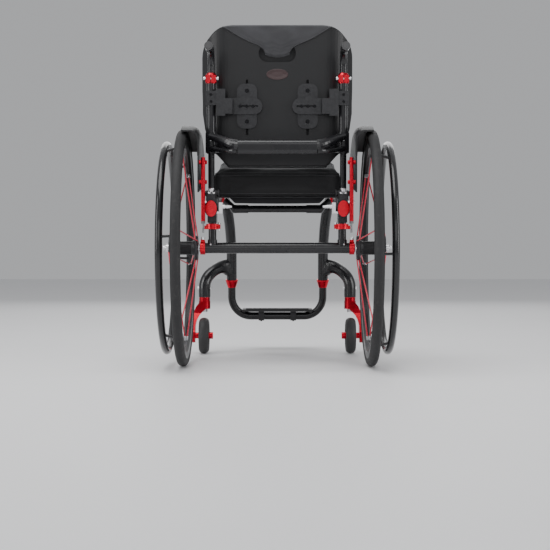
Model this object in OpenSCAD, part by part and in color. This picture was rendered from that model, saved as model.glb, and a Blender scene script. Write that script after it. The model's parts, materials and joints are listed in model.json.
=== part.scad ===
// Rigid-frame manual wheelchair. The chair faces +Y, +Z is up, the floor is Z = 0.
// The origin is the middle of the chair's footprint, on the floor.

/* [Rear wheels] */
// Outside diameter of the rear tyre
tyre_d = 590; // [580:1:600]
// Width of the rear tyre's section
tyre_w = 25; // [22:1:28]
// Distance from the chair's middle plane to the rear tyre's plane
track_x = 234; // [232:1:245]
// Outside diameter of the hand rim
handrim_d = 530; // [510:1:540]
// Thickness of the hand rim's tube
handrim_tube = 18; // [15:1:20]
// Distance from the tyre's plane to the hand rim's plane
handrim_offset = 40; // [36:1:44]
// Spokes on each flange of a rear hub
spokes_per_flange = 6; // [4:2:12]

/* [Casters] */
// Diameter of the caster wheel
caster_d = 100; // [90:1:110]
// Width of the caster wheel
caster_w = 28; // [24:1:30]
// Distance from the middle plane to the caster's stem
caster_x = 206; // [204:1:212]
// Distance that the caster's axle trails behind its stem
caster_trail = 42; // [36:1:46]

/* [Frame] */
// Distance from the middle plane to the centre of each seat tube
seat_tube_x = 163; // [160:1:166]
// Width of the oval seat tube
seat_tube_w = 30; // [26:1:30]
// Height of the oval seat tube
seat_tube_h = 42; // [38:1:42]
// Slope of the seat, rising towards the front
seat_slope = 7.4; // [6:0.1:8]
// Length of the straight part of the seat tube
seat_tube_len = 350; // [340:1:360]
// Diameter of the camber tube between the rear wheels
camber_tube_d = 27.5; // [26:0.5:30]
// Diameter of the front leg where the footrest slides in
leg_d = 29; // [27:0.5:30]
// Diameter of the footrest tube
footrest_tube_d = 22; // [20:0.5:23]

/* [Seat and back] */
// Thickness of the seat cushion
cushion_t = 66; // [50:1:68]
// Width of the seat cushion
cushion_w = 340; // [320:1:344]
// Length of the seat cushion
cushion_len = 392; // [370:1:395]
// Backward lean of the backrest
recline = 3; // [0:0.5:4]
// Height of the back shell's top edge above the backrest hinge
shell_top = 412; // [402:1:418]
// Half width of the back shell
shell_half_w = 188; // [184:1:190]

/* [Hidden] */
axle_y = -153;
axle_z = tyre_d / 2;
running_gap = 0.05;
pin_d = 8;
inch_axle_d = 12.7;

// Rear wheel
tyre_mid_r = tyre_d / 2 - tyre_w / 2;
rim_inner_r = tyre_mid_r - 31;
hub_flange_r = 31;
hub_half_len = 37;
handrim_mid_r = handrim_d / 2 - handrim_tube / 2;
rim_tabs = 6;
// Turn of each hand rim's tabs about the axle: left, right
tab_turn = [24, 33];

// Caster
caster_y = axle_y + 440;
stem_d = 12;
barrel_d = 33;
barrel_bore_d = 26;
barrel_bottom = 156.5;
barrel_top = 188;
caster_axle_z = caster_d / 2;
fork_inner = 23.5;
fork_t = 9.5;

// Seat tubes: their rear end and the local frame that they define
seat_end = [0, axle_y - 47.5, 392.5];
leg_tilt = 10;
leg_end = [0, axle_y + 500, 203];
leg_x = 131;
leg_straight = 88;

// Backrest hinge
hinge = [0, axle_y - 30, 430];
post_d = 16;
sleeve_d = 22;
handle_d = 17.5;
plunger_d = 6;
// Place of the lock plunger, seen from the hinge: behind it and below it
plunger_back = 15;
plunger_down = 33;
fold_travel = 45;

$fn = 48;

// ---------------------------------------------------------------- shared shapes

// Puts a right-hand part on its side: 1 is right (+X), -1 is left (-X)
module on_side(s) { mirror([s < 0 ? 1 : 0, 0, 0]) children(); }

module on_both_sides() {
    for (s = [-1, 1])
        on_side(s) children();
}

// The seat tubes' own frame: Y runs forward along the tube, Z is square to it
module along_seat() { translate(seat_end) rotate([seat_slope, 0, 0]) children(); }

// The backrest's own frame: the hinge line is X, Z runs up along the posts
module along_back() { translate(hinge) rotate([recline, 0, 0]) children(); }

// A wheel's own frame: Z is the wheel's axle, pointing away from the chair
module at_rear_wheel(s) { on_side(s) translate([track_x, axle_y, axle_z]) rotate([0, 90, 0]) children(); }

// A straight round bar between two points
module rod(p, q, d) {
    v = q - p;
    translate(p)
        rotate([0, acos(v[2] / norm(v)), atan2(v[1], v[0])])
            cylinder(h = norm(v), d = d);
}

module bar_x(d, x0, x1) { translate([x0, 0, 0]) rotate([0, 90, 0]) cylinder(h = x1 - x0, d = d); }

module bar_y(d, y0, y1) { translate([0, y0, 0]) rotate([-90, 0, 0]) cylinder(h = y1 - y0, d = d); }

module ring(outer, inner, h) {
    difference() {
        cylinder(h = h, d = outer);
        translate([0, 0, -1]) cylinder(h = h + 2, d = inner);
    }
}

// A rectangle with round corners, centred
module round_rect(w, h, r) {
    square([w - 2 * r, h], center = true);
    square([w, h - 2 * r], center = true);
    for (x = [-1, 1], y = [-1, 1])
        translate([x * (w / 2 - r), y * (h / 2 - r)]) circle(r = r);
}

module oval(rx, ry) { polygon([for (i = [0 : 47]) [rx * cos(i * 7.5), ry * sin(i * 7.5)]]); }

// The seat tube's section
module tube_section(grow = 0) {
    round_rect(seat_tube_w + 2 * grow, seat_tube_h + 2 * grow, seat_tube_w / 2 + grow);
}

function unit(v) = v / norm(v);

// Points along an arc about [cx, cy]
function arc(cx, cy, r, a0, a1, n) =
    [for (i = [0 : n]) [cx + r * cos(a0 + (a1 - a0) * i / n), cy + r * sin(a0 + (a1 - a0) * i / n)]];

// One point of a smooth curve between p[i] and p[i + 1]
function curve_point(p, i, f) =
    let (a = p[max(i - 1, 0)], b = p[i], c = p[i + 1], d = p[min(i + 2, len(p) - 1)])
    0.5 * (2 * b + (c - a) * f + (2 * a - 5 * b + 4 * c - d) * f * f
        + (3 * b - a - 3 * c + d) * f * f * f);

// A smooth curve through the points p
function smooth(p, steps) = concat(
    [for (i = [0 : len(p) - 2], s = [0 : steps - 1]) curve_point(p, i, s / steps)],
    [p[len(p) - 1]]);

function place(q) = [q[0], q[1], q[2]];

// One ring of a swept tube: an oval of half widths q[3] and q[4] around the point q
function tube_ring(path, i, ref, n) =
    let (q = path[i],
        t = unit(place(path[min(i + 1, len(path) - 1)]) - place(path[max(i - 1, 0)])),
        u = unit(ref - (ref * t) * t),
        v = cross(t, u))
    [for (k = [0 : n - 1])
        let (c = cos(360 * k / n), s = sin(360 * k / n))
        place(q) + q[3] * c * u
            + (q[3] * s + (q[4] - q[3]) * (abs(s) < 0.01 ? 0 : sign(s))) * v];

// A closed tube along a path of [x, y, z, half width, half height] points
module sweep(path, ref, n = 20) {
    last = len(path) - 1;
    points = [for (i = [0 : last]) each tube_ring(path, i, ref, n)];
    walls = [for (i = [0 : last - 1], k = [0 : n - 1])
        [i * n + k, (i + 1) * n + k, (i + 1) * n + (k + 1) % n, i * n + (k + 1) % n]];
    start_cap = [[for (k = [0 : n - 1]) k]];
    end_cap = [[for (k = [n - 1 : -1 : 0]) last * n + k]];
    polyhedron(points = points, faces = concat(start_cap, walls, end_cap));
}

// A round-headed bolt: the head stands on Z = 0 and the shank goes down
module bolt(d, head_d, head_h, shank) {
    difference() {
        cylinder(h = head_h, d1 = head_d, d2 = head_d * 0.8);
        translate([0, 0, head_h / 2]) cylinder(h = head_h, d = head_d * 0.4, $fn = 6);
    }
    translate([0, 0, -shank]) cylinder(h = shank + 0.1, d = d);
}

// ---------------------------------------------------------------- frame

leg_top = leg_end + [0, -leg_straight * sin(leg_tilt), leg_straight * cos(leg_tilt)];
tube_end = seat_end + [0, seat_tube_len * cos(seat_slope), seat_tube_len * sin(seat_slope)];
frame_bend = smooth([
    [seat_tube_x, tube_end[1], tube_end[2], seat_tube_w / 2, seat_tube_h / 2],
    [seat_tube_x - 3, tube_end[1] + 40, tube_end[2] + 5, seat_tube_w / 2, seat_tube_h / 2 - 1],
    [seat_tube_x - 9, tube_end[1] + 85, tube_end[2] + 3, seat_tube_w / 2, 18.5],
    [seat_tube_x - 20, tube_end[1] + 124, tube_end[2] - 26, 14.9, 16.8],
    [seat_tube_x - 27.5, tube_end[1] + 148, tube_end[2] - 75, leg_d / 2 + 0.3, 15.6],
    [leg_x + 1.5, tube_end[1] + 167, tube_end[2] - 118, leg_d / 2, leg_d / 2 + 0.3],
    [leg_x, leg_top[1], leg_top[2], leg_d / 2, leg_d / 2]
], 4);

module leg_socket() {
    translate([leg_x, leg_end[1], leg_end[2]]) rotate([leg_tilt, 0, 0]) children();
}

module side_frame(s) {
    color([0.05, 0.05, 0.06]) on_side(s) difference() {
        union() {
            translate([seat_tube_x, 0, 0]) along_seat()
                rotate([-90, 0, 0]) linear_extrude(seat_tube_len + 4) tube_section();
            sweep(frame_bend, [1, 0, 0]);
            leg_socket() cylinder(h = leg_straight + 4, d = leg_d);
        }
        leg_socket() translate([0, 0, -1]) cylinder(h = 46, d = footrest_tube_d + 0.2);
    }
}

cap_t = 4;
cap_inset = 1;

module cap_section() { oval(seat_tube_w / 2 - cap_inset, seat_tube_h / 2 - cap_inset); }

module frame_end_caps() {
    color("crimson") on_both_sides()
        translate([seat_tube_x, 0, 0]) along_seat()
            rotate([90, 0, 0]) linear_extrude(cap_t) cap_section();
}

cross_y = axle_y + 287;
cross_z = 401;
cross_bend_x = 116;
collar_at = 328;
stem_x = seat_tube_x - 1;
stem_tube_d = 20;
cross_arm_end = [143.5, 0, 425.4];

module front_cross_tube() {
    color([0.07, 0.07, 0.08]) translate([0, cross_y, 0]) {
        translate([0, 0, cross_z]) bar_x(19.5, -100, 100);
        on_both_sides() {
            translate([0, 0, cross_z]) bar_x(23, 79, cross_bend_x);
            translate([cross_bend_x, 0, cross_z]) sphere(d = 23);
            rod([cross_bend_x, 0, cross_z], cross_arm_end, 18);
        }
    }
}

module red_frame_clamps() {
    color("crimson") on_both_sides() {
        // ribbed collars around the seat tubes, where the cross tube joins them
        translate([seat_tube_x, 0, 0]) along_seat() translate([0, collar_at, 0]) difference() {
            rotate([-90, 0, 0]) for (i = [0 : 4])
                translate([0, 0, i * 3.6]) linear_extrude(3.6) tube_section(i % 2 == 0 ? 4.4 : 2.4);
            rotate([-90, 0, 0]) translate([0, 0, -1]) linear_extrude(20) tube_section();
            // flat on top, under the seat sling
            translate([-30, -1, seat_tube_h / 2 - 0.2]) cube([60, 22, 10]);
        }
        // split collars around the axle stems
        translate([stem_x, axle_y, 342]) difference() {
            union() {
                cylinder(h = 13, d = 32);
                translate([8, -6, 0]) cube([12, 12, 9]);
                translate([-20, -7, 1]) cube([10, 14, 11]);
            }
            translate([0, 0, -1]) cylinder(h = 15, d = stem_tube_d);
            translate([-24, -1, -1]) cube([16, 2, 15]);
        }
    }
}

arm_path = smooth([
    [leg_x + 3, axle_y + 494, 239, 14.8, 29],
    [leg_x + 12, axle_y + 490, 240, 15, 25],
    [leg_x + 23, axle_y + 483, 241, 15.6, 20.5],
    [leg_x + 36, axle_y + 473, 238, 16.2, 17.6],
    [leg_x + 52, axle_y + 460, 228, 16.6, 16.6],
    [caster_x - 9, axle_y + 447, 213, 16.6, 16.6],
    [caster_x - 2, axle_y + 441, 197, 16.5, 16.5],
    [caster_x, caster_y, 182, barrel_d / 2, barrel_d / 2],
    [caster_x, caster_y, barrel_bottom + 4, barrel_d / 2, barrel_d / 2]
], 4);

module caster_arm(s) {
    color([0.05, 0.05, 0.06]) on_side(s) difference() {
        union() {
            sweep(arm_path, [0, 1, 0]);
            translate([caster_x, caster_y, barrel_bottom]) cylinder(h = 24, d = barrel_d);
        }
        translate([caster_x, caster_y, barrel_bottom - 1]) cylinder(h = 31, d = barrel_bore_d);
        leg_socket() translate([0, 0, 2]) cylinder(h = leg_straight, d = leg_d);
    }
}

module stem_bearings() {
    color("silver") on_both_sides() for (z = [barrel_bottom + 0.5, barrel_bottom + 21])
        translate([caster_x, caster_y, z]) ring(barrel_bore_d, stem_d + 2 * running_gap, 8);
}

module footrest_collars() {
    color("crimson") on_both_sides() leg_socket() difference() {
        union() {
            translate([0, 0, -2]) cylinder(h = 3.5, d = leg_d + 7);
            translate([0, 0, -21]) cylinder(h = 19, d1 = 24, d2 = leg_d + 7);
        }
        translate([0, 0, -22]) cylinder(h = 22, d = footrest_tube_d);
        cylinder(h = 11, d = leg_d);
    }
}

foot_bend_r = 55;
foot_drop = 106;

module footrest_tube() {
    r = footrest_tube_d / 2;
    color([0.05, 0.05, 0.06]) translate([0, leg_end[1], leg_end[2]]) rotate([leg_tilt, 0, 0])
        difference() {
            union() {
                on_both_sides() {
                    translate([leg_x, 0, foot_bend_r - foot_drop])
                        cylinder(h = foot_drop - foot_bend_r + 40, r = r);
                    translate([leg_x - foot_bend_r, 0, foot_bend_r - foot_drop])
                        rotate([90, 0, 0]) rotate([0, 0, -90])
                            rotate_extrude(angle = 90) translate([foot_bend_r, 0]) circle(r = r);
                }
                translate([0, 0, -foot_drop]) bar_x(2 * r, foot_bend_r - leg_x, leg_x - foot_bend_r);
            }
            on_both_sides() translate([leg_x, 0, -5]) cylinder(h = 60, r = r - 2.5);
        }
}

foot_tube_y = leg_end[1] + foot_drop * sin(leg_tilt);
foot_tube_z = leg_end[2] - foot_drop * cos(leg_tilt);
plate_gap = 2.4;
plate_z = foot_tube_z + footrest_tube_d / 2 + plate_gap;
plate_w = 202;
plate_len = 116;
// the plate's front edge lies as far from the origin as the rear tyres' back edge
plate_y = tyre_d / 2 - axle_y - plate_len / 2;

module footplate() {
    color([0.25, 0.25, 0.27]) translate([0, plate_y, plate_z]) difference() {
        union() {
            linear_extrude(6) round_rect(plate_w, plate_len, 12);
            translate([0, 2 - plate_len / 2, 0]) linear_extrude(10) round_rect(plate_w - 22, 4, 1.9);
        }
        // notches beside the bends of the footrest tube
        on_both_sides() translate([91, foot_tube_y - plate_y - 14, -1]) cube([20, 28, 8]);
        for (i = [-3 : 3], k = [-1 : 1])
            translate([i * 24, 8 + k * 24, -1]) linear_extrude(8) round_rect(14, 5, 2.4);
    }
}

module footplate_clamps() {
    color([0.12, 0.12, 0.13]) for (x = [-46, 46]) translate([x, foot_tube_y, foot_tube_z]) {
        difference() {
            translate([-8, -15, -12.5]) cube([16, 30, 12.5 + footrest_tube_d / 2 + plate_gap]);
            bar_x(footrest_tube_d, -9, 9);
        }
        for (y = [-12, 12]) translate([0, y, -12.5]) mirror([0, 0, 1]) bolt(3, 6, 2, 2);
    }
}

module camber_tube() {
    color([0.06, 0.06, 0.07]) translate([0, axle_y, axle_z]) difference() {
        bar_x(camber_tube_d, -138, 138);
        bar_x(22, -139, 139);
    }
}

module camber_plugs() {
    color([0.1, 0.1, 0.11]) on_both_sides() translate([0, axle_y, axle_z]) difference() {
        union() {
            bar_x(22, 92, 194);
            bar_x(27, 138, 179.6);
        }
        bar_x(inch_axle_d + 2 * running_gap, 91, 195);
    }
}

module axle_clamps() {
    color("crimson") on_both_sides() translate([0, axle_y, axle_z]) difference() {
        union() {
            bar_x(33, 180, 192);
            translate([181, -5, 12]) cube([10, 10, 9]);
        }
        bar_x(22, 177, 195);
    }
}

module axle_stems() {
    color([0.07, 0.07, 0.08]) on_both_sides() difference() {
        union() {
            translate([stem_x, axle_y, 298]) cylinder(h = 75, d = stem_tube_d);
            translate([stem_x, axle_y, 296]) cylinder(h = 20, d = 24);
            translate([stem_x - 11, axle_y - 30, 358]) cube([22, 60, 36]);
        }
        translate([0, axle_y, axle_z]) bar_x(27, 130, 180);
        translate([seat_tube_x, 0, 0]) along_seat()
            rotate([-90, 0, 0]) linear_extrude(300) tube_section();
        translate([seat_tube_x - 20, axle_y - 60, 388]) cube([40, 120, 20]);
    }
}

// ---------------------------------------------------------------- seat

sling_z = seat_tube_h / 2 + 0.2;
sling_t = 3;

module seat_sling() {
    color([0.16, 0.16, 0.17]) along_seat() {
        translate([-seat_tube_x - 4, 44, sling_z]) cube([2 * seat_tube_x + 8, 376 - 44, sling_t]);
        // tension straps' pack under the sheet, narrower at its lower face
        translate([0, 370, 0]) rotate([90, 0, 0]) linear_extrude(310)
            polygon([[-105, 5], [105, 5], [121, sling_z + 0.5], [-121, sling_z + 0.5]]);
    }
}

module seat_cushion() {
    color([0.2, 0.2, 0.21]) along_seat() translate([0, 46 + cushion_len / 2, sling_z + sling_t + 0.3])
        linear_extrude(cushion_t) round_rect(cushion_w, cushion_len, 24);
}

// ---------------------------------------------------------------- side guards

guard_r = tyre_d / 2 + 9;
guard_x = 190;
guard_t = 3.5;
guard_corner = 22;
guard_roof_w = 44;
guard_rear = -104;
guard_front = 178;

// Section of the guard through the wheel's axle: wall, round corner, roof over the tyre
module guard_section() {
    mid = [guard_r - guard_corner, guard_corner];
    polygon(concat(
        [[0, 0]],
        arc(mid[0], mid[1], guard_corner, -90, 0, 8),
        [[guard_r, guard_roof_w], [guard_r - guard_t, guard_roof_w]],
        arc(mid[0], mid[1], guard_corner - guard_t, 0, -90, 8),
        [[0, guard_t]]));
}

module side_guard(s) {
    color([0.3, 0.3, 0.32]) on_side(s) translate([guard_x, axle_y, axle_z]) intersection() {
        rotate([0, 90, 0]) rotate_extrude($fn = 96) guard_section();
        union() {
            // wall: down to the seat tube
            translate([-1, 0, 0]) rotate([90, 0, 90]) linear_extrude(guard_corner)
                polygon([[guard_rear, 135], [guard_front - 20, 165], [guard_front, 185],
                    [guard_front, 330], [guard_rear, 330]]);
            // roof
            translate([2, guard_rear, 150]) cube([60, guard_front - 14 - guard_rear, 200]);
        }
    }
}

bar_top = 515;
bar_bottom = 360;
bar_x_mid = 180;
bar_w = 10;
bar_y_mid = axle_y + guard_rear + 9;

module guard_bars() {
    color("crimson") on_both_sides() translate([bar_x_mid, bar_y_mid, 0]) {
        translate([0, 0, bar_bottom]) linear_extrude(bar_top - bar_bottom) round_rect(bar_w, 14, 4);
        for (z = [bar_top - 12, bar_top - 60]) translate([0, 0, z]) {
            translate([-bar_w / 2, 0, 0]) rotate([0, -90, 0]) bolt(4, 11, 4.5, 1);
            // spacer between the bar and the guard
            bar_x(11, bar_w / 2 - 0.5, guard_x - bar_x_mid);
        }
    }
}

// ---------------------------------------------------------------- hinge and fasteners

ear_in = 8.2;
ear_out = 13;

bracket_x = seat_tube_x + seat_tube_w / 2 + 1;
bracket_t = 4;

module hinge_bases() {
    color([0.08, 0.08, 0.09]) on_both_sides() {
        // bracket from the seat tube's outer face back to the guard's bar
        translate([bracket_x, bar_y_mid + 7, 394]) cube([bracket_t, 78, 18]);
        difference() {
            translate([seat_tube_x, hinge[1], hinge[2]]) {
                translate([-ear_out, -15, -34]) cube([2 * ear_out, 34, 20]);
                // low wall behind the post's foot
                translate([-10, -15, -14.1]) cube([20, 3.2, 12]);
                for (x = [-ear_out, ear_in]) translate([x, 0, 0]) {
                    bar_x(16, 0, ear_out - ear_in);
                    translate([0, -8, -15]) cube([ear_out - ear_in, 16, 15]);
                }
            }
            translate([seat_tube_x - 20, hinge[1], hinge[2]]) bar_x(pin_d + 2 * running_gap, 0, 40);
            translate([seat_tube_x, 0, 0]) along_seat()
                rotate([-90, 0, 0]) linear_extrude(300) tube_section();
        }
    }
}

// Housings of the lock plungers: each holds its plunger on the inner side of the sector plate,
// and a foot under the plate's rim joins it to the seat tube
housing_x = 135;
housing_w = 16;
housing_low = 17;
foot_h = 4.5;

module plunger_housing() {
    difference() {
        translate([0, hinge[1] - plunger_back, hinge[2] - plunger_down]) difference() {
            union() {
                translate([housing_x, -housing_w / 2, -housing_low]) {
                    cube([8.4, housing_w, 27]);
                    cube([15, housing_w, foot_h]);
                }
                bar_x(10, housing_x - 6.5, housing_x + 1);
            }
            bar_x(plunger_d + 2 * running_gap, 127, 145);
        }
        translate([seat_tube_x, 0, 0]) along_seat()
            rotate([-90, 0, 0]) translate([0, 0, -20]) linear_extrude(60) tube_section();
    }
}

module frame_bolts() {
    color("silver") on_both_sides() {
        plunger_housing();
        // axle clamp's cap bolt
        translate([186, axle_y, axle_z + 21]) bolt(5, 9.5, 6, 3);
        // camber tube's grub bolts
        translate([166, axle_y - 13, axle_z + 9]) rotate([35, 0, 0]) bolt(3, 5, 2, 2);
        // split collar's bolt
        translate([stem_x - 16.5, axle_y, 354]) bolt(4, 7.5, 5, 15);
        // caster barrel's side bolts
        for (x = [-1, 1]) translate([caster_x + x * (barrel_d / 2 - 0.6), caster_y, 182])
            rotate([0, x * 90, 0]) bolt(4, 9, 4, 2.4);
        // guard bar's lower pin and its cross bolt
        translate([bar_x_mid, bar_y_mid, bar_bottom - 28]) cylinder(h = 28, d = 5);
        translate([bar_x_mid, bar_y_mid, bar_bottom - 6]) cylinder(h = 6, d = 10, $fn = 6);
        for (x = [-1, 1]) translate([bar_x_mid + x * bar_w / 2, bar_y_mid, 407])
            rotate([0, x * 90, 0]) bolt(3, 6, 3, 1);
        // guard bracket's bolts, with washers against the seat tube
        for (y = [-190, -172]) translate([bracket_x, y, 403]) {
            translate([bracket_t, 0, 0]) rotate([0, 90, 0]) bolt(4, 8, 3, bracket_t + 5);
            bar_x(8, -1.5, 0);
        }
    }
}

module lock_plunger(s) {
    color("silver") on_side(s) translate([0, hinge[1] - plunger_back, hinge[2] - plunger_down]) {
        bar_x(plunger_d, 124, 147);
        translate([112, 0, 0]) rotate([0, 90, 0]) cylinder(h = 14, d1 = 4.5, d2 = 9.5);
    }
}

// ---------------------------------------------------------------- backrest

// Sector plates: each has a curved slot that its lock plunger runs in
sector_x = 144;
sector_t = 3.2;
slot_w = 9;

module lock_sectors() {
    slot_r = norm([plunger_back, plunger_down]);
    // angles from straight down, positive towards the front
    rest = -atan2(plunger_back, plunger_down);
    color([0.1, 0.1, 0.11]) on_both_sides() along_back()
        translate([sector_x, 0, 0]) rotate([0, 90, 0]) difference() {
            union() {
                cylinder(h = sector_t, d = 20);
                rotate([0, 0, rest - 20]) rotate_extrude(angle = fold_travel + 40)
                    translate([2, 0]) square([slot_r + 7, sector_t]);
                // spacer up to the hinge's ear
                cylinder(h = seat_tube_x - ear_out - sector_x - 0.2, d = 13);
            }
            translate([0, 0, -1]) cylinder(h = 20, d = pin_d);
            translate([0, 0, -1]) rotate([0, 0, rest - 11]) rotate_extrude(angle = fold_travel + 22)
                translate([slot_r - slot_w / 2, 0]) square([slot_w, 6]);
        }
}

foot_top = 13;

module back_posts() {
    color([0.06, 0.06, 0.07]) on_both_sides() along_back() translate([seat_tube_x, 0, 0])
        difference() {
            union() {
                translate([0, 0, foot_top]) cylinder(h = 90, d = post_d);
                translate([0, 0, 98]) cylinder(h = 185, d = sleeve_d);
            }
            translate([0, 0, 10]) cylinder(h = 24, d = 10);
            translate([0, 0, 170]) cylinder(h = 120, d = handle_d);
        }
}

handle_h = 351;
handle_bend_r = 38;
handle_len = 122;

module push_handles() {
    color([0.06, 0.06, 0.07]) on_both_sides() along_back() translate([seat_tube_x, 0, 0]) difference() {
        union() {
            translate([0, 0, 170.5]) cylinder(h = handle_h - handle_bend_r - 170.5, d = handle_d);
            translate([0, -handle_bend_r, handle_h - handle_bend_r]) rotate([90, 0, 90])
                rotate_extrude(angle = 90) translate([handle_bend_r, 0]) circle(d = handle_d);
            translate([0, 0, handle_h]) bar_y(handle_d, -handle_len, -handle_bend_r);
            translate([0, 0, handle_h]) bar_y(handle_d + 3, -handle_len, -handle_bend_r - 14);
        }
        translate([0, 0, handle_h]) bar_y(12, -handle_len - 1, -handle_len + 16);
    }
}

module handle_plugs() {
    color([0.03, 0.03, 0.03]) on_both_sides() along_back() translate([seat_tube_x, 0, handle_h]) {
        bar_y(12, -handle_len - 1, -handle_len + 15.8);
        bar_y(handle_d + 3, -handle_len - 3.5, -handle_len - 0.1);
        bar_y(handle_d - 5, -handle_len - 5, -handle_len - 3);
    }
}

module height_clamps() {
    color("crimson") on_both_sides() along_back() translate([seat_tube_x, 0, 271]) difference() {
        union() {
            cylinder(h = 20, d = 27);
            translate([0, 0, 20]) cylinder(h = 5, d1 = 27, d2 = 21);
            translate([-13, -18, 2]) cube([26, 18, 17]);
        }
        translate([0, 0, -1]) cylinder(h = 13, d = sleeve_d);
        cylinder(h = 30, d = handle_d);
        translate([-1, -20, -1]) cube([2, 18, 28]);
    }
}

bar_back = -70;
bar_h = 113;

module rigidizer_bar() {
    color([0.06, 0.06, 0.07]) along_back() {
        translate([0, bar_back, bar_h]) rotate([90, 0, 90]) translate([0, 0, -96])
            linear_extrude(192) round_rect(24, 35, 11);
        on_both_sides() difference() {
            union() {
                sweep(smooth([
                    [94, bar_back, bar_h, 17.2, 11.7],
                    [106, bar_back + 3, bar_h + 3, 16, 11.5],
                    [122, bar_back + 14, bar_h + 11, 13.5, 11],
                    [142, bar_back + 34, bar_h + 20, 11, 10.5],
                    [seat_tube_x, -10, bar_h + 27, 9, 10]
                ], 3), [0, 0, 1], 16);
                sweep(smooth([
                    [98, bar_back, bar_h - 8, 8, 10],
                    [112, bar_back + 4, bar_h - 10, 6, 9],
                    [138, bar_back + 28, bar_h - 7, 6, 8],
                    [seat_tube_x, -10, bar_h - 3, 8, 8]
                ], 3), [0, 0, 1], 12);
                translate([seat_tube_x, 0, bar_h - 13]) cylinder(h = 50, d = 29);
            }
            translate([seat_tube_x, 0, 50]) cylinder(h = 140, d = sleeve_d);
            translate([seat_tube_x - 25, 14.5, 80]) cube([50, 40, 90]);
        }
    }
}

// The back shell is flat in the middle and curves forward at the sides
shell_back = 15;
shell_t = 3.5;
shell_flat = 115;
shell_r = 85;
shell_low = 70;
cushion_low = 66;

// near and far are distances in front of the shell's rear surface
function wing(r, a0, a1) = arc(shell_flat, shell_back + shell_r, r, a0, a1, 12);
function flip(points) = [for (i = [len(points) - 1 : -1 : 0]) [-points[i][0], points[i][1]]];

module back_plan(near, far, half_w) {
    edge = asin((half_w - shell_flat) / shell_r) - 90;
    outer = wing(shell_r - near, -90, edge);
    inner = wing(shell_r - far, edge, -90);
    polygon(concat(outer, inner, flip(inner), flip(outer)));
}

// Rear outline of the back: round top corners, narrower between the side guards
module back_outline(half_w, top, bottom) {
    r = 74;
    right = concat(
        [[120, bottom], [158, 102], [171, 128], [181, 160], [guard_x - 3, 200],
            [guard_x - 3, 226], [half_w, 256]],
        arc(half_w - r, top - r, r, 0, 90, 10));
    polygon(concat(right, flip(right)));
}

module back_shell() {
    color([0.1, 0.1, 0.11]) along_back() difference() {
        intersection() {
            translate([0, 0, shell_low]) linear_extrude(shell_top - shell_low)
                back_plan(0, shell_t, shell_half_w);
            translate([0, 150, 0]) rotate([90, 0, 0]) linear_extrude(160)
                back_outline(shell_half_w, shell_top, shell_low);
        }
        // carry slot
        translate([0, 60, 346.5]) rotate([90, 0, 0]) linear_extrude(60) round_rect(92, 43, 21);
        on_both_sides() translate([75, 60, 213]) rotate([90, 0, 0])
            linear_extrude(60) round_rect(6, 138, 2.9);
    }
}

module back_cushion() {
    color([0.24, 0.24, 0.25]) along_back() difference() {
        intersection() {
            translate([0, 0, cushion_low]) linear_extrude(shell_top + 3 - cushion_low)
                back_plan(shell_t + 0.3, shell_t + 30, shell_half_w + 3);
            translate([0, 150, 0]) rotate([90, 0, 0]) linear_extrude(160)
                back_outline(shell_half_w + 3, shell_top + 3, cushion_low);
        }
        // pocket for the fingers behind the shell's carry slot
        translate([0, shell_back + 15, 346.5]) rotate([90, 0, 0]) linear_extrude(20) round_rect(87, 38, 18.5);
        // thinner towards its lower edge, where the seat cushion is
        translate([-220, 0, 0]) rotate([90, 0, 90]) linear_extrude(440)
            polygon([[30, 60], [120, 60], [120, 130], [52, 130]]);
    }
}

module back_brackets() {
    color([0.07, 0.07, 0.08]) on_both_sides() along_back() {
        difference() {
            union() {
                translate([seat_tube_x - 13, -15, 217]) cube([26, 30, 35]);
                // angle plate and link towards the shell
                translate([128, -17, 191]) cube([21.5, 5, 66]);
                translate([145, -17, 217]) cube([6, 22, 35]);
                translate([110, -17, 196]) cube([20, 5, 38]);
                translate([110, -17, 196]) cube([5, 17, 38]);
            }
            translate([seat_tube_x, 0, 200]) cylinder(h = 70, d = sleeve_d);
        }
    }
}

module bracket_plates() {
    color([0.08, 0.08, 0.09]) on_both_sides() along_back() {
        // upright plate against the shell
        translate([75, shell_back - 0.3, 216]) rotate([90, 0, 0]) linear_extrude(5)
            round_rect(50, 111, 18);
        // level plate with a round inner end and a raised middle
        translate([0, shell_back - 5.6, 0]) rotate([90, 0, 0]) linear_extrude(6) difference() {
            union() {
                translate([78, 195.5]) square([31.5, 40]);
                translate([57, 215.5]) circle(r = 20);
                translate([57, 195.5]) square([30, 40]);
                translate([80, 224]) circle(r = 17);
            }
            for (i = [0 : 2])
                translate([52 + i * 16, 215.5]) round_rect(9, 4.5, 2.2);
        }
    }
}

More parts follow.
